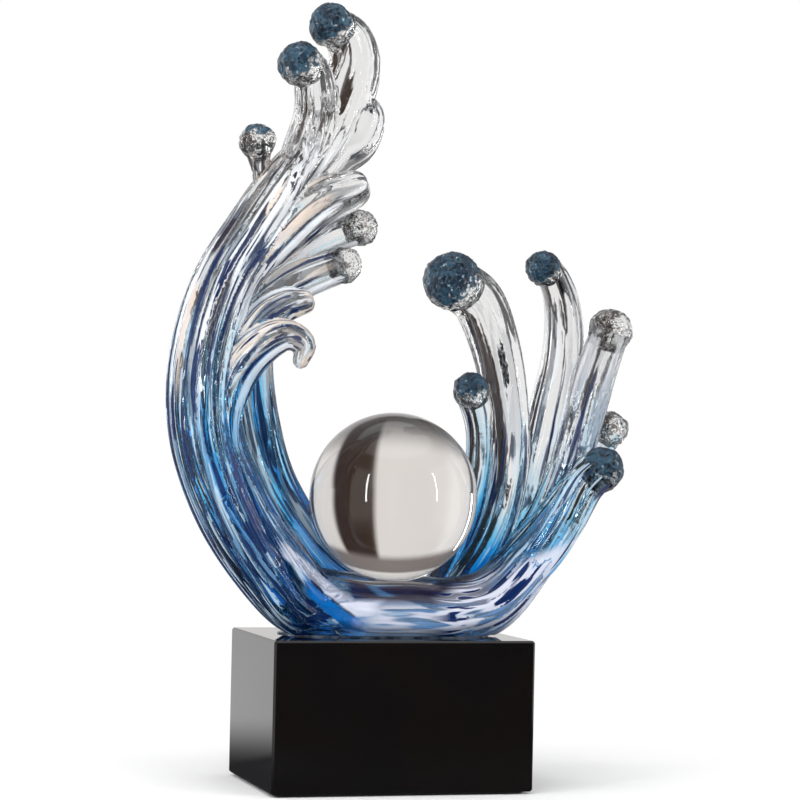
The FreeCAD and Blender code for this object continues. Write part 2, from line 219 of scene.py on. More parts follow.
class Line:
    """A smooth line through a route's rows, with a half width and a half depth all along it."""

    def __init__(self, rows: list, step: float = 2.5 * MM, fewest: int = 8) -> None:
        """Samples the line.

        Args:
            rows: Arrays of x, y, z, half width and half depth, in metres.
            step: The distance between samples.
            fewest: The least number of samples.
        """
        knots = np.array(rows, float)
        samples = self._through(knots)
        runs = np.linalg.norm(np.diff(samples[:, :3], axis=0), axis=1)
        reach = np.concatenate([[0], np.cumsum(runs)])
        self.reach = np.linspace(0, reach[-1], max(int(reach[-1] / step), fewest))
        dense = np.stack([np.interp(self.reach, reach, samples[:, k]) for k in range(5)], axis=1)
        self.points = dense[:, :3]
        self.widths = dense[:, 3]
        self.depths = dense[:, 4]
        along = unit(np.gradient(self.points, axis=0))
        self.side = unit(np.cross(np.array(BACKWARDS), along))
        self.back = np.cross(along, self.side)

    @staticmethod
    def _lean(t: np.ndarray, low: float, high: float, first: np.ndarray, last: np.ndarray) -> np.ndarray:
        """Goes from first to last as t goes from low to high."""
        return (high - t) / (high - low) * first + (t - low) / (high - low) * last

    @staticmethod
    def _through(knots: np.ndarray, pieces: int = 24) -> np.ndarray:
        """Samples a centripetal curve through all the knots.

        Args:
            knots: Rows that start with x, y and z.
            pieces: The number of samples from one knot to the next.

        Returns:
            The samples, each a row like a knot's.
        """
        ghost = np.vstack([2 * knots[0] - knots[1], knots, 2 * knots[-1] - knots[-2]])
        spacing = np.sqrt(np.linalg.norm(np.diff(ghost[:, :3], axis=0), axis=1))
        at = np.concatenate([[0], np.cumsum(spacing)])
        found = []
        for i in range(1, len(ghost) - 2):
            t = np.linspace(at[i], at[i + 1], pieces, endpoint=False)[:, None]
            p0, p1, p2, p3 = ghost[i - 1], ghost[i], ghost[i + 1], ghost[i + 2]
            t0, t1, t2, t3 = at[i - 1], at[i], at[i + 1], at[i + 2]
            a1, a2 = Line._lean(t, t0, t1, p0, p1), Line._lean(t, t1, t2, p1, p2)
            a3 = Line._lean(t, t2, t3, p2, p3)
            b1, b2 = Line._lean(t, t0, t2, a1, a2), Line._lean(t, t1, t3, a2, a3)
            found.append(Line._lean(t, t1, t2, b1, b2))
        found.append(knots[-1:])
        return np.vstack(found)


@dataclass
class Flute:
    """One rounded rib of glass, with its strand's line, the way round the strand, and a number of its own."""

    points: np.ndarray
    radii: np.ndarray
    line: Line
    round_way: np.ndarray
    seed: float


@dataclass
class Bundle:
    """The flutes that lie side by side round one strand, and the solid glass within them."""

    line: Line
    flutes: int
    twist: float = 0.0
    plumpness: float = 0.55
    seed: int = 0
    lobes: int = 0
    lobe_depth: float = 0.0
    uneven_start: float = 0.27
    drift: float = 0.10
    drift_waves: tuple = (3, 7)
    swelling: float = 0.16
    swelling_waves: tuple = (6, 16)
    phase: tuple = (0, 6)
    plumper: tuple = (0.78, 1.18)
    slimmest: float = 0.9 * MM
    widest_share: float = 0.6
    skin: float = 2.0 * MM
    core_share: float = 0.90
    slimmest_core: float = 0.8 * MM
    outer_share: float = 0.79
    outer_skins: float = 1.75
    outer_lobes: float = 0.6
    core_spacing: float = 0.8
    core_slack: float = 0.4

    def ribs(self) -> list[Flute]:
        """Lays the flutes round the strand, each a little uneven.

        Returns:
            The flutes, in order round the strand.
        """
        chance = random.Random(self.seed)
        line = self.line
        share = np.linspace(0, 1, len(line.reach))
        made = []
        for k in range(self.flutes):
            start = math.tau * (k + chance.uniform(-self.uneven_start, self.uneven_start)) / self.flutes
            wander = self.drift * np.sin(share * chance.uniform(*self.drift_waves)
                                         + chance.uniform(*self.phase))
            turn = start + self.twist * math.tau * share + wander
            spacing = math.tau / self.flutes * np.sqrt(
                (line.widths * np.sin(turn)) ** 2 + (line.depths * np.cos(turn)) ** 2)
            swell = 1 + self.swelling * np.sin(share * chance.uniform(*self.swelling_waves)
                                               + chance.uniform(*self.phase))
            radii = spacing * self.plumpness * swell * chance.uniform(*self.plumper)
            radii = np.maximum(np.minimum(radii, line.widths * self.widest_share), self.slimmest)
            hollow = self.lobe_depth * (1 - np.cos(self.lobes * turn)) / 2 * line.widths / line.widths.max()
            out_width = np.maximum(line.widths - radii - hollow, 0)
            out_depth = np.maximum(line.depths - radii - hollow, 0)
            points = (line.points + line.side * (out_width * np.cos(turn))[:, None]
                      + line.back * (out_depth * np.sin(turn))[:, None])
            round_way = unit(line.back * (line.depths * np.cos(turn))[:, None]
                             - line.side * (line.widths * np.sin(turn))[:, None])
            made.append(Flute(points, radii, line, round_way, chance.random()))
        return made

    def cores(self) -> list[Flute]:
        """Fills the strand behind its flutes with thick plain ribs, side by side along its broad way.

        Returns:
            The ribs, in order across the strand.
        """
        line = self.line
        narrow, broad, way = line.widths, line.depths, line.back
        if line.widths.mean() > line.depths.mean():
            narrow, broad, way = line.depths, line.widths, line.side
        radii = np.maximum(narrow * self.core_share - self.skin - self.lobe_depth, self.slimmest_core)
        inset = self.outer_skins * self.skin
        room = np.maximum(broad - inset - self.outer_lobes * self.lobe_depth - radii * self.outer_share, 0)
        layers = 1 + 2 * int(np.ceil(room.max() / (self.core_spacing * radii.max()) - self.core_slack))
        made = []
        for layer in np.linspace(-1, 1, layers) if layers > 1 else [0.0]:
            shrunk = radii * (1 - (1 - self.outer_share) * layer * layer)
            made.append(Flute(line.points + way * (room * layer)[:, None], shrunk, line, line.side, 0.5))
        return made


# Shader graphs


def operation(name: str, swapped: bool = False) -> Callable[..., Shade]:
    """Makes the method of a Shade that does one sum.

    Args:
        name: The Math node's name for the sum.
        swapped: Whether the other number comes first.

    Returns:
        A method that adds the node and returns its result.
    """
    def method(self: Shade, other: Shade | float) -> Shade:
        """Does the sum on self and one other number."""
        values = (other, self) if swapped else (self, other)
        node = self.graph.add("ShaderNodeMath", {"operation": name}, dict(enumerate(values)))
        return Shade(self.graph, node.outputs[0])
    return method


class Shade:
    """A number that runs through a shader graph, so that sums on it add their own nodes."""

    __add__, __radd__ = operation("ADD"), operation("ADD", True)
    __sub__, __rsub__ = operation("SUBTRACT"), operation("SUBTRACT", True)
    __mul__, __rmul__ = operation("MULTIPLY"), operation("MULTIPLY", True)
    __truediv__, __rtruediv__ = operation("DIVIDE"), operation("DIVIDE", True)
    power, most = operation("POWER"), operation("MAXIMUM")

    def __init__(self, graph: Graph, socket: bpy.types.NodeSocket) -> None:
        """Keeps the graph and the socket that the number leaves by."""
        self.graph = graph
        self.socket = socket

    def ease(self, start: float, end: float) -> Shade:
        """Rises smoothly from 0 at start to 1 at end; a start above the end makes it fall.

        Args:
            start: The value at which it gives 0.
            end: The value at which it gives 1.

        Returns:
            The eased number.
        """
        low, high = min(start, end), max(start, end)
        node = self.graph.add(
            "ShaderNodeMapRange", {"interpolation_type": "SMOOTHSTEP"},
            {"Value": self, "From Min": low, "From Max": high,
             "To Min": 0.0 if start < end else 1.0, "To Max": 1.0 if start < end else 0.0})
        return Shade(self.graph, node.outputs[0])

    def ease_mm(self, start: float, end: float) -> Shade:
        """Eases between two places in millimetres."""
        return self.ease(start * MM, end * MM)

    def within(self, start: float, full: float, fade: float, end: float) -> Shade:
        """Rises from start to full and falls from fade to end, all in millimetres."""
        return self.ease_mm(start, full) * self.ease_mm(end, fade)


class Graph:
    """Adds nodes to a material or a world, each by one call."""

    def __init__(self, owner: bpy.types.Material | bpy.types.World) -> None:
        """Empties the owner's tree and starts with its output.

        Args:
            owner: The material or world to fill.
        """
        self.owner = owner
        owner.use_nodes = True
        self.tree = owner.node_tree
        self.tree.nodes.clear()
        kind = "ShaderNodeOutputWorld" if isinstance(owner, bpy.types.World) else "ShaderNodeOutputMaterial"
        self.output = self.tree.nodes.new(kind)

    @classmethod
    def of(cls, name: str) -> Graph:
        """Starts a new material and returns its graph."""
        return cls(bpy.data.materials.new(name))

    def feed(self, socket: bpy.types.NodeSocket, value: object) -> None:
        """Links a Shade or a socket to a socket, or else sets its value.

        Args:
            socket: The input to fill.
            value: A Shade, a socket, or a plain value.
        """
        value = value.socket if isinstance(value, Shade) else value
        if isinstance(value, bpy.types.NodeSocket):
            self.tree.links.new(value, socket)
        else:
            socket.default_value = value

    def add(self, kind: str, settings: dict | None = None, inputs: dict | None = None) -> bpy.types.Node:
        """Adds a node.

        Args:
            kind: Blender's name for the type of node.
            settings: The node's own settings; "stops" holds a colour ramp's places and colours.
            inputs: A value, a link or a Shade for each named or numbered socket.

        Returns:
            The new node.
        """
        node = self.tree.nodes.new(kind)
        for name, value in (settings or {}).items():
            if name == "stops":
                self._set_stops(node.color_ramp, value)
            else:
                setattr(node, name, value)
        for name, value in (inputs or {}).items():
            self.feed(node.inputs[name], value)
        return node

    @staticmethod
    def _set_stops(ramp: bpy.types.ColorRamp, stops: list) -> None:
        """Gives a ramp its stops, each a place and a colour.

        Args:
            ramp: The ramp, which starts with two stops.
            stops: Pairs of a place between 0 and 1 and a colour.
        """
        while len(ramp.elements) < len(stops):
            ramp.elements.new(1.0)
        for element, (at, colour) in zip(ramp.elements, stops):
            element.position = at
            element.color = (*colour, 1.0)

    def mix(self, factor: Shade | float, first: object, second: object) -> bpy.types.NodeSocket:
        """Mixes two colours.

        Args:
            factor: The share of the second colour.
            first: A colour, or the socket of one.
            second: A colour, or the socket of one.

        Returns:
            The socket of the mixed colour.
        """
        node = self.add("ShaderNodeMix", {"data_type": "RGBA", "clamp_factor": True})
        for index, value in ((0, factor), (6, first), (7, second)):
            self.feed(node.inputs[index], (*value, 1.0) if isinstance(value, tuple) else value)
        return node.outputs[2]

    def surface(self, inputs: dict) -> bpy.types.NodeSocket:
        """Adds the main surface shader."""
        return self.add("ShaderNodeBsdfPrincipled", None, inputs).outputs[0]

    def blend(self, factor: Shade, first: object, second: object) -> bpy.types.NodeSocket:
        """Mixes two shaders."""
        return self.add("ShaderNodeMixShader", None, {0: factor, 1: first, 2: second}).outputs[0]

    def bump(self, height: Shade, strength: float, depth: float) -> bpy.types.NodeSocket:
        """Turns heights into a bumped normal, with the depth in metres."""
        inputs = {"Strength": strength, "Distance": depth, "Height": height}
        return self.add("ShaderNodeBump", None, inputs).outputs[0]

    def place_on_object(self) -> tuple[bpy.types.NodeSocket, Shade, Shade, Shade]:
        """Takes the place on the object, in metres.

        Returns:
            The socket of the place, then its three numbers.
        """
        coordinates = self.add("ShaderNodeTexCoord")
        parts = self.add("ShaderNodeSeparateXYZ", None, {0: coordinates.outputs["Object"]})
        return coordinates.outputs["Object"], *(Shade(self, parts.outputs[k]) for k in range(3))

    def noise(self, vector: bpy.types.NodeSocket, scale: float, detail: float = 2.0,
              roughness: float = 0.5) -> Shade:
        """Soft noise between about 0.3 and 0.7."""
        node = self.add("ShaderNodeTexNoise", None,
                        {"Vector": vector, "Scale": scale, "Detail": detail, "Roughness": roughness})
        return Shade(self, node.outputs[0])

    def stretched(self, vector: bpy.types.NodeSocket, scale: tuple) -> bpy.types.NodeSocket:
        """The vector, scaled along each of its axes."""
        return self.add("ShaderNodeMapping", None, {"Vector": vector, "Scale": scale}).outputs[0]

    def ramp(self, value: Shade, stops: list) -> bpy.types.NodeSocket:
        """A colour for each value between 0 and 1."""
        return self.add("ShaderNodeValToRGB", {"stops": stops}, {0: value}).outputs[0]

    def finish(self, surface: bpy.types.NodeSocket) -> bpy.types.Material | bpy.types.World:
        """Leads a shader to the output and returns the owner."""
        self.tree.links.new(surface, self.output.inputs["Surface"])
        return self.owner


# Finishes


@dataclass(frozen=True)
class Grain:
    """A point's place, the patterns along the flutes there, its flute's number, and how near a crease is."""

    x: Shade
    y: Shade
    z: Shade
    hairs: Shade
    streaks: Shade
    bands: Shade
    rib: Shade
    crease: Shade


@dataclass(frozen=True)
class WaveGlass:
    """Cast glass that runs from deep blue at the foot to clear at the tips, with painted highlights, painted
    reflections and painted shade streaked along its flutes, and the ball's painted shadow below it.

    The methods mask its marks by place, in millimetres, and by levels of noise, which lies between about
    0.3 and 0.7.
    """

    clear: tuple = (0.96, 0.97, 0.975)
    pale: tuple = (0.66, 0.86, 0.97)
    sky: tuple = (0.13, 0.56, 0.93)
    deep: tuple = (0.004, 0.22, 0.66)
    ink: tuple = (0.001, 0.075, 0.34)
    # Painted shade and dark reflections, low on the glass.
    navy_shade: tuple = (0.005, 0.020, 0.095)
    # Painted dark purple reflections on the wing, and the ball's painted shadow on the cradle.
    violet_reflection_and_shadow: tuple = (0.022, 0.016, 0.036)
    # Painted pale purple sheen across the cradle's front.
    lilac_sheen: tuple = (0.70, 0.72, 0.84)
    # Painted pale highlight threads on the flutes' crowns.
    thread_highlight: tuple = (0.66, 0.84, 0.98)
    # Painted warm highlight on the crowns of the wing's flutes.
    peach_highlight: tuple = (0.96, 0.82, 0.71)
    # Painted white highlight on the flutes' crowns.
    milk_highlight: tuple = (0.90, 0.93, 0.98)
    # Painted pale blue highlight, for the crowns low on the glass.
    haze_and_blue_highlight: tuple = (0.30, 0.62, 0.95)
    # Painted shade and dark reflections, high on the glass.
    slate_shade: tuple = (0.022, 0.022, 0.030)
    cobalt: tuple = (0.001, 0.17, 0.60)
    hair_grain: tuple = (20.0, 430.0, 430.0)
    streak_grain: tuple = (16.0, 200.0, 200.0)
    band_grain: tuple = (12.0, 80.0, 80.0)
    clear_height: float = 305 * MM
    deep_height: float = 112 * MM
    rim_rise: float = 75 * MM
    right_drop: float = 105 * MM
    inner_drop: float = 50 * MM
    # How much lower the painted highlight threads fade out on the right.
    highlight_thread_drop: float = 120 * MM
    # How much lower the painted shade turns grey on the right.
    ink_drop: float = 90 * MM
    ripple_strength: float = 0.35
    ripple_depth: float = 0.6 * MM
    # How much the layer of painted highlights, painted reflections and painted shade, with the cobalt band,
    # covers the glass.
    streak_layer_share: float = 0.8
    streak_layer_roughness: float = 0.12
    # How much the streaks' colour, painted light included, tints the glass.
    streak_tint_share: float = 0.85
    ior: float = 1.50

    def make(self) -> bpy.types.Material:
        """Builds the material.

        Returns:
            The material, which needs the attributes that the wave is marked with.
        """
        graph = Graph.of("wave_glass")
        flow = graph.add("ShaderNodeAttribute", {"attribute_name": "flow"}).outputs["Vector"]
        grain = Grain(
            *graph.place_on_object()[1:],
            *(graph.noise(graph.stretched(flow, scale), 1.0, 1.0)
              for scale in (self.hair_grain, self.streak_grain, self.band_grain)),
            *(Shade(graph, graph.add("ShaderNodeAttribute", {"attribute_name": name}).outputs["Fac"])
              for name in ("rib", "crease")))
        colour = self._blue(graph, grain)
        tint, cover = self._streaks(graph, grain)
        ripple = graph.bump(grain.streaks, self.ripple_strength, self.ripple_depth)
        # The streaks' colour, painted light included, also tints the clear glass beneath them.
        glass = graph.surface({
            "Base Color": graph.mix(cover * self.streak_tint_share, colour, tint), "Roughness": 0.0,
            "IOR": self.ior, "Transmission Weight": 1.0, "Normal": ripple})
        # An opaque layer that shows the painted highlights, painted reflections, painted shade and the cobalt
        # band.
        streak_layer = graph.surface({
            "Base Color": tint, "Roughness": self.streak_layer_roughness, "IOR": self.ior, "Normal": ripple})
        return graph.finish(graph.blend(cover * self.streak_layer_share, glass, streak_layer))

    def _blue(self, graph: Graph, grain: Grain) -> bpy.types.NodeSocket:
        """The blue that deepens to the foot and reaches higher on the wing, with painted shade that deepens
        it in the creases and a painted highlight that pales it on the crowns.

        Args:
            graph: The material's graph.
            grain: The place and its patterns.

        Returns:
            The colour of the clear glass.
        """
        x, y, z = grain.x, grain.y, grain.z
        right_side = x.ease_mm(-20, 50)
        inner = x.ease_mm(-95, -60) * y.ease_mm(8, -8) * (1.0 - right_side)
        rim = x.ease_mm(-104, -124)
        top = self.clear_height + rim * self.rim_rise - right_side * self.right_drop - inner * self.inner_drop
        depth = (top - z) / (top - self.deep_height)
        # Painted shade: deeper blue in the creases; painted highlight: paler on the crowns. The bands are
        # random tone.
        depth = depth + (grain.bands - 0.45) * 1.3 + (grain.crease - 0.45) * 0.5
        return graph.ramp(depth, [(0.0, self.clear), (0.24, self.pale), (0.54, self.sky), (0.80, self.deep),
                                  (1.0, self.ink)])

    def _wing_marks(self, grain: Grain, crown: Shade) -> tuple[Shade, Shade, Shade]:
        """Where the flutes' crowns carry painted warm and white highlights, and where the wing carries
        painted dark purple reflections.

        Args:
            grain: The place and its patterns.
            crown: How near each point is to a flute's crown.

        Returns:
            The masks of the warm highlights, the white highlights and the purple reflections.
        """
        x, z = grain.x, grain.z
        wing = x.ease_mm(-30, -62) * z.within(215, 260, 345, 385)
        # Painted warm highlights on the crowns of the wing's flutes.
        peach_highlight = grain.rib.ease(0.50, 0.58) * grain.bands.ease(0.44, 0.49) * crown * wing * 0.75
        # Painted white highlights on the flutes' crowns, fewer low down and on the right.
        milk_highlight = grain.rib.ease(0.55, 0.45) * grain.bands.ease(0.47, 0.53) * crown * z.ease_mm(395, 350)
        milk_highlight = milk_highlight * (0.35 + 0.50 * z.ease_mm(190, 260)) * (1.0 - 0.5 * x.ease_mm(10, 50))
        # Painted dark purple reflections on the wing's left.
        violet_reflection_and_shadow = grain.bands.ease(0.35, 0.31) * wing * x.ease_mm(-70, -95) * 0.8
        return peach_highlight, milk_highlight, violet_reflection_and_shadow

    def _foot_marks(self, grain: Grain) -> tuple[Shade, Shade, Shade, Shade]:
        """Where the cradle's front carries the ball's near-black painted shadow, a painted pale purple sheen,
        a cobalt band of the glass's own colour, and a band of painted pale sheen.

        Args:
            grain: The place and its patterns.

        Returns:
            The masks of the painted shadow, the painted pale purple sheen, the cobalt blade and the band of
            painted sheen.
        """
        x, z = grain.x, grain.z
        front = grain.y.ease_mm(0, -15)
        # The ball's painted shadow on the cradle's front.
        shadow = z.within(106, 112, 128, 136) * x.within(-45, -15, 45, 75) * front
        shadow = shadow * grain.bands.ease(0.70, 0.60)
        # Painted pale sheen along the front's foot, climbing to the right.
        climb = (x - 20 * MM).most(0.0) * 0.45
        lilac_sheen = (z - climb).ease_mm(113, 104) * x.within(-35, -5, 115, 145) * front
        lilac_sheen = lilac_sheen * (0.25 + 0.75 * grain.streaks.ease(0.43, 0.52))
        # A band of painted pale sheen that rises to the left, with the cobalt band below it.
        height = z - (-26 * MM - x).most(0.0) * 0.78
        ribbon_sheen = height.within(100, 103, 109, 113) * x.within(-78, -66, -20, 0) * front
        ribbon_sheen = ribbon_sheen * (0.6 + 0.4 * grain.streaks.ease(0.40, 0.50))
        blade = height.within(90, 92, 99, 101) * x.within(-60, -52, -26, -18) * front
        return shadow, lilac_sheen, blade, ribbon_sheen

    def _shade_and_dark_reflection_marks(self, grain: Grain, right: Shade) -> Shade:
        """Where painted shade darkens the creases, and painted dark reflections lie along hairline streaks
        and in pooled patches between the flutes.

        Args:
            grain: The place and its patterns.
            right: How far each point lies to the right.

        Returns:
            The mask of all the painted shade and dark reflections.
        """
        x, z = grain.x, grain.z
        left = x.ease_mm(-20, -50)
        curls = x.ease_mm(-88, -68) * z.within(225, 245, 335, 355)
        fewer = (right * z.ease_mm(190, 260)).most(curls) * 0.06
        streaks = grain.streaks - fewer
        # Painted shade in the creases.
        lines = grain.crease.ease(0.66, 0.82) * streaks.ease(0.46, 0.52) * left.most(right)
        # Painted dark reflections along hairline streaks.
        hairline_reflections = (grain.hairs - fewer).ease(0.585, 0.62) * left * z.ease_mm(395, 350) * 0.8
        # Painted dark reflections in pooled patches between the flutes.
        reach = left.most(right * z.ease_mm(330, 200))
        pool_reflections = streaks.ease(0.60, 0.65) * reach * z.ease_mm(375, 330) * 0.9
        return lines.most(hairline_reflections).most(pool_reflections)

    def _streaks(self, graph: Graph, grain: Grain) -> tuple[bpy.types.NodeSocket, Shade]:
        """Streaks of painted light that lie along the flutes: painted highlights on their crowns, painted
        shade in the creases between them, painted reflections, the ball's painted shadow, and the glass's own
        cobalt band.

        Args:
            graph: The material's graph.
            grain: The place and its patterns.

        Returns:
            Their colour, and how much they cover.
        """
        z = grain.z
        right = grain.x.ease_mm(10, 50)
        crown = grain.crease.ease(0.75, 0.50)
        peach_highlight, milk_highlight, violet_reflection_and_shadow = self._wing_marks(grain, crown)
        shadow, lilac_sheen, blade, ribbon_sheen = self._foot_marks(grain)
        lilac_sheen = lilac_sheen.most(ribbon_sheen)
        # Painted pale highlight threads on the crowns.
        highlight_threads = grain.hairs.ease(0.42, 0.37) * crown
        highlight_threads = highlight_threads * (z + right * self.highlight_thread_drop).ease_mm(345, 300) * 0.6
        # All the painted shade and dark reflections, weaker across the cobalt band and the band of painted
        # sheen.
        dark = self._shade_and_dark_reflection_marks(grain, right) * (1.0 - blade.most(ribbon_sheen * 0.8) * 0.85)
        # Painted warm highlights over painted white ones, which are pale blue low down.
        tint = graph.mix(peach_highlight * 4.0, graph.mix(z.ease_mm(190, 260), self.haze_and_blue_highlight, self.milk_highlight), self.peach_highlight)
        # The painted highlight threads, pale blue low down and white higher.
        tint = graph.mix(highlight_threads * 2.0, tint, graph.mix(z.ease_mm(230, 270), self.thread_highlight, self.milk_highlight))
        # The painted purple reflections and the ball's painted shadow.
        tint = graph.mix(violet_reflection_and_shadow.most(shadow) * 1.5, tint, self.violet_reflection_and_shadow)
        tint = graph.mix(blade * 1.5, tint, self.cobalt)
        # The painted pale sheen.
        tint = graph.mix(lilac_sheen * 1.4, tint, self.lilac_sheen)
        # The colour of the painted shade and dark reflections: dark blue low down, grey higher.
        ink = graph.mix((z + right * self.ink_drop).ease_mm(300, 360), self.navy_shade, self.slate_shade)
        tint = graph.mix(dark * 2.0, tint, ink)
        cover = peach_highlight
        for mark in (milk_highlight, highlight_threads, violet_reflection_and_shadow, shadow, blade * 0.8, lilac_sheen, dark):
            cover = cover.most(mark)
        return tint, cover


class Crown(Enum):
    """How much of a tip its frost covers, as a height on it: from -1, all of it, to 1, none."""

    FULL = -0.25
    HALF = 0.05
    THIN = 0.55
    BARE = 1.4


@dataclass(frozen=True)
class FrostedGlass:
    """The bubbled glass of a tip: clear on its inner side, with a dark blue-green crust on its crown."""

    clear: tuple = (0.93, 0.935, 0.93)
    frost: tuple = (0.007, 0.026, 0.052)
    teal: tuple = (0.022, 0.075, 0.125)
    glint: tuple = (0.32, 0.43, 0.50)
    # Dark brown of the patches in the clear glass.
    patch_brown: tuple = (0.035, 0.022, 0.016)
    # Painted shade in the hollows of the bubbles.
    pit_shade: tuple = (0.004, 0.008, 0.014)
    lean: tuple = (-0.15, -0.2, 0.9)
    bubble_scale: float = 330.0
    mottle_scale: float = 150.0
    cell_scale: float = 430.0

    @staticmethod
    def _reach(place: list, centre: Vector, way: Vector) -> Shade:
        """How far a place lies from the centre along a way."""
        x, y, z = (axis - middle for axis, middle in zip(place, centre))
        return x * way.x + y * way.y + z * way.z

    def make(self, name: str, centre: Vector, radius: float, outward: Vector,
             crown: Crown) -> bpy.types.Material:
        """Builds the material for one tip.

        Args:
            name: The material's name.
            centre: The tip's middle.
            radius: Its radius.
            outward: The way that its strand points at its end.
            crown: How far the frost comes down.

        Returns:
            The material.
        """
        graph = Graph.of(name)
        spot, *place = graph.place_on_object()
        bubbles = graph.noise(spot, self.bubble_scale, 3.0, 0.6)
        mottle = graph.noise(spot, self.mottle_scale, 3.0, 0.65)
        cells = graph.add("ShaderNodeTexVoronoi", None, {"Vector": spot, "Scale": self.cell_scale})
        ahead = outward.normalized()
        height = self._reach(place, centre, (ahead + Vector(self.lean)).normalized()) / radius
        leftwards = (centre.x - place[0]) / radius
        outer = (self._reach(place, centre, ahead) / radius).ease(-0.9, 0.1)
        mask = (height + (mottle - 0.5) * 1.8).ease(crown.value - 0.10, crown.value + 0.12)
        crust = graph.mix(mottle.ease(0.44, 0.58), self.frost, self.teal)
        crust = graph.mix(bubbles.ease(0.62, 0.68), crust, self.glint)
        # Painted shade in the hollows of the bubbles, where the bump sinks.
        crust = graph.mix(bubbles.ease(0.45, 0.38), crust, self.pit_shade)
        # Dark brown patches in the clear glass, more of them towards the left.
        dark_patches = (mottle + leftwards * 0.10).ease(0.52, 0.56) * bubbles.ease(0.42, 0.48)
        body = graph.mix(dark_patches * 0.9, self.clear, self.patch_brown)
        rough = (Shade(graph, cells.outputs["Distance"]) + bubbles) * outer
        glass = graph.surface({
            "Base Color": body, "Roughness": 0.02, "IOR": 1.5, "Transmission Weight": 1.0,
            "Normal": graph.bump(rough, 0.3, 0.7 * MM)})
        crusted = graph.surface({
            "Base Color": graph.mix(mask, body, crust), "Roughness": 0.22 + bubbles * 0.2, "IOR": 1.5,
            "Transmission Weight": 0.25, "Normal": graph.bump(rough, 0.6, 0.9 * MM)})
        return graph.finish(graph.blend(mask, glass, crusted))


@dataclass(frozen=True)
class Finish:
    """A finish that is one surface shader, a little uneven over the object."""

    name: str = ""

    def make(self) -> bpy.types.Material:
        """Builds the material."""
        graph = Graph.of(self.name)
        return graph.finish(graph.surface(self.inputs(graph, graph.place_on_object()[0])))

    def inputs(self, graph: Graph, spot: bpy.types.NodeSocket) -> dict:
        """Works out what the surface shader is fed.

        Args:
            graph: The material's graph.
            spot: The place on the object.

        Returns:
            A value or a link for each named input.
        """
        raise NotImplementedError


@dataclass(frozen=True)
class BallGlass(Finish):
    """Flawless polished crystal, a trace warm."""

    name: str = "crystal"
    tint: tuple = (0.845, 0.808, 0.775)
    clear: tuple = (1.0, 0.995, 0.985)

    def inputs(self, graph: Graph, spot: bpy.types.NodeSocket) -> dict:
        """A tint that hardly varies."""
        colour = graph.mix(graph.noise(spot, 14.0) * 0.15, self.tint, self.clear)
        return {"Base Color": colour, "Roughness": 0.0, "IOR": 1.52, "Transmission Weight": 1.0}


@dataclass(frozen=True)
class BlackGloss(Finish):
    """Polished black glass with the faintest brown clouds and dust-fine unevenness."""

    name: str = "black_gloss"
    black: tuple = (0.0045, 0.0040, 0.0042)
    brown: tuple = (0.0054, 0.0042, 0.0040)

    def inputs(self, graph: Graph, spot: bpy.types.NodeSocket) -> dict:
        """Brown in the clouds, and duller in the clouds and under the dust."""
        cloud = graph.noise(spot, 22.0, 4.0)
        rough = 0.025 + cloud * 0.02 + graph.noise(spot, 900.0, 2.0).ease(0.62, 0.75) * 0.06
        colour = graph.mix(cloud.ease(0.42, 0.62), self.black, self.brown)
        return {"Base Color": colour, "Roughness": rough, "IOR": 1.52}


@dataclass(frozen=True)
class Felt(Finish):
    """Short black felt."""

    name: str = "felt"
    nap: tuple = (0.012, 0.012, 0.013)
    lint: tuple = (0.05, 0.05, 0.055)

    def inputs(self, graph: Graph, spot: bpy.types.NodeSocket) -> dict:
        """Fibres that stand a little out, the highest of them grey."""
        fibres = graph.noise(graph.stretched(spot, (1.0, 1.6, 1.0)), 1500.0, 4.0, 0.7)
        colour = graph.mix(fibres.ease(0.45, 0.7), self.nap, self.lint)
        return {"Base Color": colour, "Roughness": 0.95, "Sheen Weight": 0.3,
                "Normal": graph.bump(fibres, 0.6, 0.3 * MM)}


@dataclass(frozen=True)
class Adhesive(Finish):
    """Dark, half clear glue, a little uneven."""

    name: str = "adhesive"
    dark: tuple = (0.02, 0.03, 0.05)
    thin: tuple = (0.09, 0.13, 0.19)

    def inputs(self, graph: Graph, spot: bpy.types.NodeSocket) -> dict:
        """Paler and duller where the glue is thin."""
        cloud = graph.noise(spot, 160.0, 3.0)
        colour = graph.mix(cloud.ease(0.4, 0.65), self.dark, self.thin)
        return {"Base Color": colour, "Roughness": cloud * 0.4 + 0.1, "IOR": 1.48}


@dataclass(frozen=True)
class ClearRing(Finish):
    """Soft clear elastomer, which all but vanishes where it lies against the glass."""

    name: str = "clear_ring"
    tint: tuple = (0.92, 0.93, 0.94)
    clear: tuple = (1.0, 1.0, 1.0)

    def inputs(self, graph: Graph, spot: bpy.types.NodeSocket) -> dict:
        """Faintly hazy, and nearly see-through all over."""
        haze_and_blue_highlight = graph.noise(spot, 300.0, 2.0)
        return {"Base Color": graph.mix(haze_and_blue_highlight, self.tint, self.clear), "Roughness": 0.15 + haze_and_blue_highlight * 0.1,
                "IOR": 1.43, "Transmission Weight": 1.0, "Alpha": 0.06 + haze_and_blue_highlight * 0.12}


# Hand tools


def deselect() -> None:
    """Leaves edit mode and selects nothing."""
    if bpy.context.object and bpy.context.object.mode != "OBJECT":
        bpy.ops.object.mode_set(mode="OBJECT")
    bpy.ops.object.select_all(action="DESELECT")


def pick(piece: bpy.types.Object) -> None:
    """Selects one piece and makes it the active one.

    Args:
        piece: The piece to work on.
    """
    deselect()
    piece.select_set(True)
    bpy.context.view_layer.objects.active = piece


def spots_of(piece: bpy.types.Object) -> np.ndarray:
    """Reads where a mesh's points are.

    Args:
        piece: The mesh.

    Returns:
        The points' places, one to a row.
    """
    spots = np.empty(len(piece.data.vertices) * 3)
    piece.data.vertices.foreach_get("co", spots)
    return spots.reshape(-1, 3)


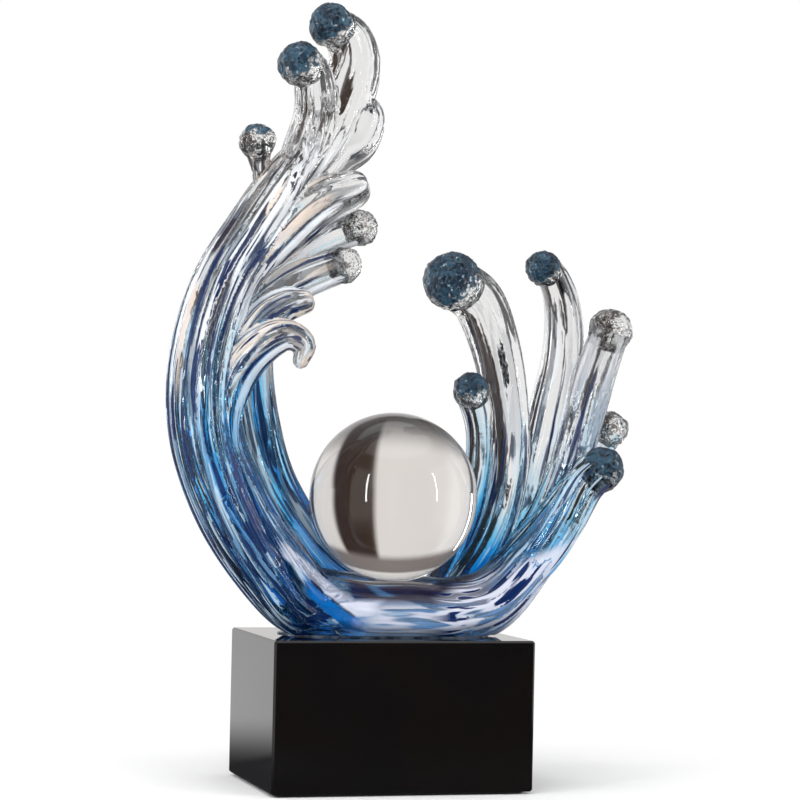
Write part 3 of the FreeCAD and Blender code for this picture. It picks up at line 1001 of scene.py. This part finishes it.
def open_with(piece: bpy.types.Object, chosen: list[int]) -> None:
    """Opens a mesh in edit mode with only the chosen points selected.

    Args:
        piece: The mesh.
        chosen: The numbers of the points to select.
    """
    pick(piece)
    bpy.ops.object.mode_set(mode="EDIT")
    bpy.ops.mesh.select_all(action="DESELECT")
    bpy.ops.object.mode_set(mode="OBJECT")
    for index in chosen:
        piece.data.vertices[index].select = True
    bpy.ops.object.mode_set(mode="EDIT")


def apply_modifier(piece: bpy.types.Object, kind: str, **settings: object) -> None:
    """Adds one modifier and applies it.

    Args:
        piece: The mesh to change.
        kind: Blender's name for the modifier's type.
        settings: The modifier's own settings.
    """
    pick(piece)
    modifier = piece.modifiers.new(kind.lower(), kind)
    for name, value in settings.items():
        setattr(modifier, name, value)
    bpy.ops.object.modifier_apply(modifier=modifier.name)


def settle(piece: bpy.types.Object, name: str, material: bpy.types.Material) -> bpy.types.Object:
    """Moves a finished piece's place into its mesh, smooths its shading, names it and gives it its finish.

    Args:
        piece: The finished mesh.
        name: Its name.
        material: Its finish.

    Returns:
        The same piece.
    """
    pick(piece)
    bpy.ops.object.transform_apply(location=True, rotation=True, scale=True)
    bpy.ops.object.shade_smooth()
    piece.name = name
    piece.data.name = name
    piece.data.materials.clear()
    piece.data.materials.append(material)
    return piece


# The wave


# The tip on each strand: its radius in millimetres and its frost.
TIPS = {
    "crest_curl_top": (14.0, Crown.FULL), "crest_curl_left": (14.0, Crown.HALF),
    "crest_bud": (11.5, Crown.THIN), "crest_curl_second": (11.5, Crown.BARE),
    "crest_curl_third": (11.5, Crown.BARE), "finger_tall": (18.5, Crown.FULL),
    "finger_front": (14.0, Crown.FULL), "finger_outer": (14.0, Crown.BARE),
    "finger_middle": (11.5, Crown.FULL), "finger_short": (11.5, Crown.HALF),
    "finger_rear": (11.5, Crown.BARE),
}


@dataclass
class Wave:
    """The one casting: a cradle under the ball, a wing that curls over at its crest, and a fan of fingers."""

    rib_resolution: int = 3
    voxel: float = 1.0 * MM
    smoothing: float = 0.5
    smooth_passes: int = 2
    triangles: int = 190_000
    main_flutes: int = 21
    main_plumpness: float = 0.52
    ridge_lobes: int = 7
    lobe_depth: float = 2.6 * MM
    drawn_out: float = 0.13
    drawn_rows: tuple = (2, 4)
    drawn_depth: float = 0.8
    lane_half_width: float = 8.0 * MM
    lane_inset: float = 0.6
    front_share: float = 0.5
    sunken_start: float = 0.25
    sheet_flutes: int = 12
    ball_room: float = BALL_RADIUS + BALL_ROOM
    ball_segments: int = 192
    ball_equator: float = 0.1 * MM
    lift: float = 190 * MM
    tip_flare: float = 0.86
    neighbours: int = 16
    dome: tuple = (0.5, 0.8, 0.95)
    knot: tuple = (-27 * MM, -37 * MM, 102 * MM)
    knot_reach: float = 13 * MM
    melt_passes: int = 30
    plug_ends: tuple = ((-44 * MM, -27 * MM, 108 * MM), (-8 * MM, -31 * MM, 102 * MM))
    plug_radius: float = 7.5 * MM
    plug_points: int = 12
    main_seed: int = 1
    sheet_seed: int = 2
    curl_seed: int = 10
    finger_seed: int = 30

    def rows(self, route: list) -> list[np.ndarray]:
        """Turns the rows of a wide strand's route into metres."""
        return [np.array([*place(row), row[3] * MM, row[4] * MM]) for row in route]

    def ridge(self) -> tuple[np.ndarray, np.ndarray]:
        """The ridge's rows in metres, and the way across the ridge at each."""
        rows = np.array(self.rows(RIDGE_ROUTE))
        return rows, unit(np.cross(np.array(BACKWARDS), np.gradient(rows[:, :3], axis=0)))

    def main_rows(self) -> list[np.ndarray]:
        """Lays the great swell: from the fan, under the ball, and up the wing's outer side.

        Returns:
            Its rows.
        """
        ridge, sides = self.ridge()
        found = self.rows(KEEL_ROUTE)
        for i in range(1, len(ridge)):
            row = ridge[i].copy()
            share = self.drawn_out * float(np.interp(i, self.drawn_rows, (0, 1)))
            row[:3] -= sides[i] * row[3] * share
            row[3] *= 1 - share
            row[4] *= 1 - share * self.drawn_depth
            found.append(row)
        return found

    def ridge_rows(self, lobe: Lobe, name: str) -> list[np.ndarray]:
        """Follows the ridge along one lane.

        Args:
            lobe: The curl that the lane leads to.
            name: The curl's name.

        Returns:
            A row for each ridge row up to where the curl leaves.
        """
        ridge, sides = self.ridge()
        found = []
        for i in range(lobe.leaves + 1):
            spot, (width, depth) = ridge[i][:3], ridge[i][3:]
            across = lobe.lane[0] + (lobe.lane[1] - lobe.lane[0]) * i / lobe.leaves
            half_depth = depth * math.sqrt(1 - across * across)
            point = spot + sides[i] * across * (width - self.lane_half_width * self.lane_inset)
            if name in FRONT_CURLS:
                point = point - np.array(BACKWARDS) * half_depth * self.front_share
                half_depth *= self.front_share
            if i == 0:
                point = spot + (point - spot) * self.sunken_start
                half_depth *= self.sunken_start
            found.append(np.array([*point, self.lane_half_width, half_depth]))
        return found

    def lobe_rows(self, lobe: Lobe, name: str) -> list[np.ndarray]:
        """Follows a lobe's own route, whose last row widens to meet a frosted tip.

        Args:
            lobe: The curl or finger.
            name: Its name.

        Returns:
            The rows, with a dome at the end where it has one.
        """
        found = [np.array([*place(row), row[3] * MM, row[3] * MM]) for row in lobe.route]
        if name in TIPS:
            found[-1][3:] = TIPS[name][0] * MM * self.tip_flare
        if lobe.rounded:
            end, before = found[-1], found[-2]
            ahead = (end - before)[:3]
            ahead = ahead / np.linalg.norm(ahead)
            for share in self.dome:
                radius = end[3] * math.sqrt(1 - share * share)
                found.append(np.array([*(end[:3] + ahead * end[3] * share), radius, radius]))
        return found

    def bundles(self) -> list[Bundle]:
        """Lays out every strand of the casting.

        Returns:
            The swell, the inner sheet, the curls and the fingers.
        """
        made = [
            Bundle(Line(self.main_rows()), self.main_flutes, plumpness=self.main_plumpness,
                   seed=self.main_seed, lobes=self.ridge_lobes, lobe_depth=self.lobe_depth),
            Bundle(Line(self.rows(SHEET_ROUTE)), self.sheet_flutes, seed=self.sheet_seed),
        ]
        for seed, (name, lobe) in enumerate(CURLS.items(), self.curl_seed):
            line = Line(self.ridge_rows(lobe, name) + self.lobe_rows(lobe, name))
            made.append(Bundle(line, lobe.flutes, lobe.twist, seed=seed))
        for seed, (name, lobe) in enumerate(FINGERS.items(), self.finger_seed):
            made.append(Bundle(Line(self.lobe_rows(lobe, name)), lobe.flutes, lobe.twist, seed=seed))
        return made

    def draw(self, flutes: list[Flute], name: str) -> bpy.types.Object:
        """Draws each flute as a round, closed rib.

        Args:
            flutes: The flutes to draw.
            name: The new object's name.

        Returns:
            One mesh that holds all the ribs.
        """
        curve = bpy.data.curves.new(name, "CURVE")
        curve.dimensions = "3D"
        curve.bevel_depth = MM
        curve.bevel_resolution = self.rib_resolution
        curve.use_fill_caps = True
        for flute in flutes:
            spline = curve.splines.new("POLY")
            spline.points.add(len(flute.points) - 1)
            spline.points.foreach_set("co", np.c_[flute.points, np.ones(len(flute.points))].ravel())
            spline.points.foreach_set("radius", flute.radii / MM)
        piece = bpy.data.objects.new(name, curve)
        bpy.context.collection.objects.link(piece)
        pick(piece)
        bpy.ops.object.convert(target="MESH")
        return bpy.context.object

    def keep_outside(self, piece: bpy.types.Object) -> None:
        """Deletes the closed hollows that the fusing leaves inside the glass.

        Args:
            piece: The fused wave.
        """
        open_with(piece, [int(np.argmax(spots_of(piece)[:, 2]))])
        bpy.ops.mesh.select_linked()
        bpy.ops.mesh.select_all(action="INVERT")
        bpy.ops.mesh.delete(type="VERT")
        bpy.ops.object.mode_set(mode="OBJECT")

    def ball_way(self) -> bpy.types.Object:
        """Makes the rounded shape that the ball sweeps as it lifts out.

        Returns:
            The shape, which is cut from the wave.
        """
        deselect()
        bpy.ops.mesh.primitive_uv_sphere_add(segments=self.ball_segments, ring_count=self.ball_segments // 2,
                                             radius=self.ball_room)
        tool = bpy.context.object
        open_with(tool, np.flatnonzero(spots_of(tool)[:, 2] > self.ball_equator).tolist())
        bpy.ops.transform.translate(value=(0, 0, self.lift))
        bpy.ops.object.mode_set(mode="OBJECT")
        tool.rotation_euler = LIFT_DIRECTION.to_track_quat("Z", "Y").to_euler()
        tool.location = BALL_CENTRE
        bpy.ops.object.transform_apply(location=True, rotation=True, scale=True)
        return tool

    def clear_the_ball(self, piece: bpy.types.Object) -> None:
        """Sinks the ball's dish, and clears its way out, from the glass.

        Args:
            piece: The wave.
        """
        tool = self.ball_way()
        apply_modifier(piece, "BOOLEAN", operation="DIFFERENCE", solver="MANIFOLD", object=tool)
        bpy.data.objects.remove(tool)

    def cut_flat(self, piece: bpy.types.Object) -> None:
        """Grinds the foot flat where it stands on the adhesive.

        Args:
            piece: The wave.
        """
        pick(piece)
        bpy.ops.object.mode_set(mode="EDIT")
        bpy.ops.mesh.select_all(action="SELECT")
        bpy.ops.mesh.bisect(plane_co=(0, 0, WAVE_FOOT), plane_no=(0, 0, 1), use_fill=True, clear_inner=True)
        bpy.ops.object.mode_set(mode="OBJECT")

    def plug(self, like: Flute) -> Flute:
        """Makes a hidden rib that fills the glass behind the knot, with a line like another rib's.

        Args:
            like: The rib whose line it takes.

        Returns:
            The hidden rib.
        """
        start, end = np.array(self.plug_ends)
        points = start + (end - start) * np.linspace(0, 1, self.plug_points)[:, None]
        return replace(like, points=points, radii=np.full(self.plug_points, self.plug_radius))

    def ease_knot(self, piece: bpy.types.Object) -> None:
        """Melts down the knot at the cradle's front, where the flutes of swell and wing run together.

        Args:
            piece: The wave.
        """
        away = np.linalg.norm(spots_of(piece) - np.array(self.knot), axis=1) / self.knot_reach
        group = piece.vertex_groups.new(name="knot")
        for index in np.flatnonzero(away < 1):
            group.add([int(index)], 1 - float(away[index]) ** 2, "REPLACE")
        apply_modifier(piece, "SMOOTH", factor=self.smoothing, iterations=self.melt_passes,
                       vertex_group="knot")
        piece.vertex_groups.clear()

    def mark_flow(self, piece: bpy.types.Object, flutes: list[Flute]) -> None:
        """Notes at each point its place in its strand, its flute, and how near it lies to a crease.

        Args:
            piece: The wave.
            flutes: The flutes that it was cast from.
        """
        parts = ((flute.points, flute.line.points, flute.line.side, flute.line.back, flute.round_way,
                  flute.radii, flute.line.reach, np.full(len(flute.points), flute.seed)) for flute in flutes)
        points, centres, sides, backs, ways, radii, reaches, seeds = map(np.concatenate, zip(*parts))
        tree = kdtree.KDTree(len(points))
        for index, point in enumerate(points):
            tree.insert(point, index)
        tree.balance()
        spots = spots_of(piece)
        near = np.array([min(tree.find_n(spot, self.neighbours), key=lambda hit: hit[2] - radii[hit[1]])[1]
                         for spot in spots])
        inward = spots - centres[near]
        flow = np.stack([reaches[near], (inward * sides[near]).sum(1), (inward * backs[near]).sum(1)], axis=1)
        crease = np.abs(((spots - points[near]) * ways[near]).sum(1)) / radii[near]
        attributes = piece.data.attributes
        attributes.new("flow", "FLOAT_VECTOR", "POINT").data.foreach_set("vector", flow.ravel())
        attributes.new("rib", "FLOAT", "POINT").data.foreach_set("value", seeds[near])
        attributes.new("crease", "FLOAT", "POINT").data.foreach_set("value", np.clip(crease, 0, 1))

    def build(self, finish: WaveGlass) -> bpy.types.Object:
        """Casts the wave.

        Args:
            finish: The glass that it is cast from.

        Returns:
            The wave as one closed mesh.
        """
        bundles = self.bundles()
        flutes = [flute for bundle in bundles for flute in bundle.ribs()]
        cores = [flute for bundle in bundles for flute in bundle.cores()]
        piece = self.draw(flutes + cores + [self.plug(cores[0])], "glass_wave")
        LOG.info("wave drawn with %d flutes", len(flutes))
        apply_modifier(piece, "REMESH", mode="VOXEL", voxel_size=self.voxel)
        self.keep_outside(piece)
        apply_modifier(piece, "SMOOTH", factor=self.smoothing, iterations=self.smooth_passes)
        self.ease_knot(piece)
        self.clear_the_ball(piece)
        self.cut_flat(piece)
        faces = sum(len(face.vertices) - 2 for face in piece.data.polygons)
        apply_modifier(piece, "DECIMATE", ratio=min(1.0, self.triangles / faces))
        self.mark_flow(piece, flutes)
        settle(piece, "glass_wave", finish.make())
        LOG.info("wave cast: %d triangles from %d", len(piece.data.polygons), faces)
        return piece


@dataclass
class Tips:
    """The blobs of bubbled, frosted glass on the ends of the fingers and of some curls."""

    rings: int = 72
    lump: float = 7.0 * MM
    bubble: float = 2.4 * MM
    lump_height: float = 2.4 * MM
    bubble_height: float = 1.1 * MM
    shrink: float = 0.93

    def build(self, finish: FrostedGlass) -> list[bpy.types.Object]:
        """Makes every tip on the end of its own strand.

        Args:
            finish: The frosted glass.

        Returns:
            The tips, one object each.
        """
        return [self.blob(name, radius * MM, crown, finish) for name, (radius, crown) in TIPS.items()]

    def blob(self, name: str, radius: float, crown: Crown, finish: FrostedGlass) -> bpy.types.Object:
        """Makes one lumpy ball of glass.

        Args:
            name: The strand that it ends.
            radius: Its greatest radius.
            crown: How much of it is frosted.
            finish: The frosted glass.

        Returns:
            The tip.
        """
        route = (CURLS[name] if name in CURLS else FINGERS[name]).route
        centre = Vector(place(route[-1]))
        outward = centre - Vector(place(route[-2]))
        deselect()
        bpy.ops.mesh.primitive_uv_sphere_add(segments=2 * self.rings, ring_count=self.rings,
                                             radius=radius * self.shrink, location=centre)
        piece = bpy.context.object
        bpy.ops.object.transform_apply(location=True, rotation=True, scale=True)
        self.roughen(piece, "CLOUDS", self.lump, self.lump_height)
        self.roughen(piece, "VORONOI", self.bubble, self.bubble_height)
        settle(piece, f"frosted_tip_{name}", finish.make(f"frosted_{name}", centre, radius, outward, crown))
        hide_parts(f"tip_of_{name}")
        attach(piece, "sculpture")
        return piece

    def roughen(self, piece: bpy.types.Object, pattern: str, size: float, height: float) -> None:
        """Raises and sinks the surface in one pattern, in place.

        Args:
            piece: The tip.
            pattern: Blender's name for the pattern.
            size: The pattern's size.
            height: How far its highest and lowest points lie apart.
        """
        texture = bpy.data.textures.new(pattern.lower(), pattern)
        texture.noise_scale = size
        apply_modifier(piece, "DISPLACE", texture=texture, texture_coords="GLOBAL", strength=height,
                       mid_level=0.5)


@dataclass
class Ball:
    """The loose crystal ball."""

    radius: float = BALL_RADIUS
    rings: int = 128

    def build(self, glass: BallGlass) -> bpy.types.Object:
        """Makes the ball at its rest place.

        Args:
            glass: The crystal.

        Returns:
            The ball.
        """
        deselect()
        bpy.ops.mesh.primitive_uv_sphere_add(segments=2 * self.rings, ring_count=self.rings,
                                             radius=self.radius, location=BALL_CENTRE)
        piece = settle(bpy.context.object, "ball", glass.make())
        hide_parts("crystal_ball")
        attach(piece, "ball")
        return piece


@dataclass
class Base:
    """The plinth with its felt and its adhesive bed, and the ring in the ball's dish: all as modelled."""

    finishes: dict = field(default_factory=lambda: {
        "plinth": BlackGloss(), "base_felt": Felt(), "adhesive_bed": Adhesive(), "ball_seat": ClearRing()})

    def dress(self, nodes: dict) -> None:
        """Gives each node its finish.

        Args:
            nodes: The frame's objects by name.
        """
        for name, finish in self.finishes.items():
            node = nodes[name]
            if not node.material_slots:
                node.data.materials.append(None)
            material = finish.make()
            for slot in node.material_slots:
                slot.material = material
            LOG.info("%s dressed", name)


# The studio


DARK_BROWN = (0.050, 0.032, 0.024)
DARK_GREY = (0.055, 0.055, 0.068)
GREY = (0.40, 0.40, 0.42)
BLACK = (0.012, 0.012, 0.013)
PALE = (0.88, 0.865, 0.855)
WHITE = (1.0, 1.0, 1.0)

# The room that glass shows: bearings in degrees from the view's own axis, positive to the right, and colours.
ROOM = [
    (-180, GREY), (-160, DARK_GREY), (-153, DARK_GREY), (-147, PALE), (-121, PALE), (-117, DARK_GREY),
    (-109, DARK_BROWN), (-105, WHITE), (-91, WHITE), (-88, DARK_GREY), (-83, DARK_BROWN), (-79, PALE),
    (-66, WHITE), (-63, DARK_GREY), (-59, DARK_GREY), (-54, WHITE), (-34, WHITE), (-26, PALE), (7, PALE),
    (10, DARK_BROWN), (32, DARK_BROWN), (36, PALE), (62, WHITE), (66, DARK_GREY), (74, DARK_GREY),
    (78, WHITE), (112, PALE), (130, BLACK), (166, BLACK), (180, GREY),
]

# Each lamp's name, place, width and height, power in watts, and whether glass shows it.
LAMPS = [
    ("overhead", (-0.2, -0.3, 1.5), (0.9, 0.9), 5.0, False),
    ("left_softbox", (-1.3, -0.5, 0.9), (0.7, 0.7), 4.0, False),
    ("left_strip", (-1.25, -0.95, 0.45), (0.07, 1.1), 5.0, True),
    ("right_strip", (1.15, -1.15, 0.55), (0.06, 1.0), 3.5, True),
    ("top_strip", (-0.1, -0.7, 1.35), (1.0, 0.08), 3.5, False),
    ("back_strip", (-1.0, 1.1, 0.6), (0.06, 1.1), 3.5, True),
]


class Sight(Enum):
    """The kinds of ray that the studio answers in ways of their own."""

    CAMERA = "Is Camera Ray"
    GLOSSY = "Is Glossy Ray"
    TRANSMISSION = "Is Transmission Ray"


@dataclass
class Studio:
    """A white sweep, soft lamps and the camera."""

    eye: tuple = (-0.438, -1.551, 0.200)
    yaw: float = math.radians(16.07)
    pitch: float = math.radians(1.0)
    roll: float = math.radians(1.23)
    sensor: float = 36.0
    focal: float = 2711 / 800
    nearest: float = 0.05
    lamp_aim: tuple = (0, 0, 0.2)
    daylight: float = 0.85
    ceiling: tuple = (0.26, 0.235, 0.225)
    ceiling_edge: tuple = (0.50, 0.62)
    skylight_edge: tuple = (0.78, 0.84)
    floor_radius: float = 2.2
    floor_sides: int = 96
    floor_matt: tuple = (0.86, 0.86, 0.86, 1)
    floor_fade: tuple = (0.16, 0.34)
    # Painted dark shadow that glass and gloss see on the floor near the object.
    reflected_floor_shadow: tuple = (0.05, 0.05, 0.055)
    mirror_fade: tuple = (0.12, 0.45)

    def aim_camera(self) -> None:
        """Sets the camera where the photograph was taken from."""
        data = bpy.data.cameras.new("camera")
        data.sensor_width = self.sensor
        data.lens = self.sensor * self.focal
        data.clip_start = self.nearest
        camera = bpy.data.objects.new("camera", data)
        bpy.context.collection.objects.link(camera)
        turned = Matrix.Rotation(-self.yaw, 4, "Z") @ Matrix.Rotation(math.pi / 2 + self.pitch, 4, "X")
        turned = turned @ Matrix.Rotation(self.roll, 4, "Z")
        camera.matrix_world = Matrix.Translation(self.eye) @ turned
        bpy.context.scene.camera = camera

    @staticmethod
    def _rays(graph: Graph) -> tuple[Shade, Shade]:
        """Asks what kind of ray has come.

        Args:
            graph: The graph to ask.

        Returns:
            Whether the camera looks, and whether glass or gloss does.
        """
        path = graph.add("ShaderNodeLightPath")
        seen = {sight: Shade(graph, path.outputs[sight.value]) for sight in Sight}
        return seen[Sight.CAMERA], seen[Sight.GLOSSY].most(seen[Sight.TRANSMISSION])

    def light_room(self) -> None:
        """Makes the room: plain soft daylight, with pale and dark walls that only the glass shows."""
        world = bpy.context.scene.world or bpy.data.worlds.new("room")
        bpy.context.scene.world = world
        graph = Graph(world)
        camera, mirrored = self._rays(graph)
        toward = graph.add("ShaderNodeTexCoord").outputs["Generated"]
        parts = graph.add("ShaderNodeSeparateXYZ", None, {0: toward})
        x, y, z = (Shade(graph, parts.outputs[k]) for k in range(3))
        walls = self._walls(graph, x, y)
        walls = graph.mix(z.ease(*self.ceiling_edge), walls, self.ceiling)
        walls = graph.mix(z.ease(*self.skylight_edge), walls, WHITE)
        unmirrored = graph.mix(camera, (self.daylight,) * 3, WHITE)
        colour = graph.mix(mirrored, unmirrored, walls)
        background = graph.add("ShaderNodeBackground", None, {"Color": colour, "Strength": 1.0})
        graph.finish(background.outputs[0])

    def _walls(self, graph: Graph, x: Shade, y: Shade) -> bpy.types.NodeSocket:
        """Colours the room towards x and y, by the bearing from the view's own axis.

        Args:
            graph: The graph to add to.
            x: The way to the right.
            y: The way to the back.

        Returns:
            The socket of the colour.
        """
        turned_x = x * math.cos(self.yaw) - y * math.sin(self.yaw)
        turned_y = x * math.sin(self.yaw) + y * math.cos(self.yaw)
        node = graph.add("ShaderNodeMath", {"operation": "ARCTAN2"}, {0: turned_x, 1: turned_y})
        round_share = Shade(graph, node.outputs[0]) / math.tau + 0.5
        stops = [((bearing + 180) / 360, colour) for bearing, colour in ROOM]
        return graph.ramp(round_share, stops)

    def lay_floor(self) -> None:
        """Lays the white floor, which keeps the object's shadow close to it, and which glass and gloss see as
        a painted dark shadow near the object.
        """
        deselect()
        bpy.ops.mesh.primitive_circle_add(vertices=self.floor_sides, radius=self.floor_radius,
                                          fill_type="NGON")
        floor = bpy.context.object
        floor.name = "floor"
        graph = Graph.of("floor")
        floor.data.materials.append(graph.owner)
        _, x, y, _ = graph.place_on_object()
        away = (x * x + y * y).power(0.5)
        camera, mirrored = self._rays(graph)
        matt = graph.add("ShaderNodeBsdfDiffuse", None, {"Color": self.floor_matt}).outputs[0]
        white = graph.add("ShaderNodeEmission", None, {"Color": (1, 1, 1, 1), "Strength": 1.0}).outputs[0]
        shown = graph.blend(away.ease(*self.floor_fade), matt, white)
        # Glass and gloss see the floor near the object as a painted dark shadow, fading to the room farther
        # out.
        far = graph.mix(away.ease(*self.mirror_fade), self.reflected_floor_shadow, self._walls(graph, x, y))
        mirror = graph.add("ShaderNodeEmission", None, {"Color": far, "Strength": 1.0}).outputs[0]
        graph.finish(graph.blend(camera, graph.blend(mirrored, matt, mirror), shown))

    def hang_lamp(self, name: str, spot: tuple, size: tuple, power: float, mirrored: bool) -> None:
        """Hangs one softbox that faces the object.

        Args:
            name: The lamp's name.
            spot: Where it hangs.
            size: Its width and height.
            power: Its power in watts.
            mirrored: Whether glass shows it.
        """
        data = bpy.data.lights.new(name, "AREA")
        data.shape = "RECTANGLE"
        data.size, data.size_y = size
        data.energy = power
        lamp = bpy.data.objects.new(name, data)
        bpy.context.collection.objects.link(lamp)
        lamp.location = spot
        lamp.visible_glossy = mirrored
        lamp.visible_transmission = mirrored
        aim = Vector(self.lamp_aim) - Vector(spot)
        lamp.rotation_euler = aim.to_track_quat("-Z", "Y").to_euler()

    def build(self) -> None:
        """Sets up the whole studio."""
        bpy.context.scene.view_settings.view_transform = "Standard"
        self.aim_camera()
        self.light_room()
        self.lay_floor()
        for lamp in LAMPS:
            self.hang_lamp(*lamp)


def main() -> None:
    """Builds the sculpture and its studio."""
    logging.basicConfig(level=logging.INFO, format="%(name)s: %(message)s", force=True)
    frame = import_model()
    Studio().build()
    Base().dress(frame["nodes"])
    wave = Wave().build(WaveGlass())
    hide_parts(*(name for name in frame["nodes"] if name in WAVE_NODES))
    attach(wave, "sculpture")
    for tip in Tips().build(FrostedGlass()):
        LOG.info("%s made", tip.name)
    ball = Ball().build(BallGlass())
    LOG.info("%s made", ball.name)


if __name__ == "__main__":
    main()
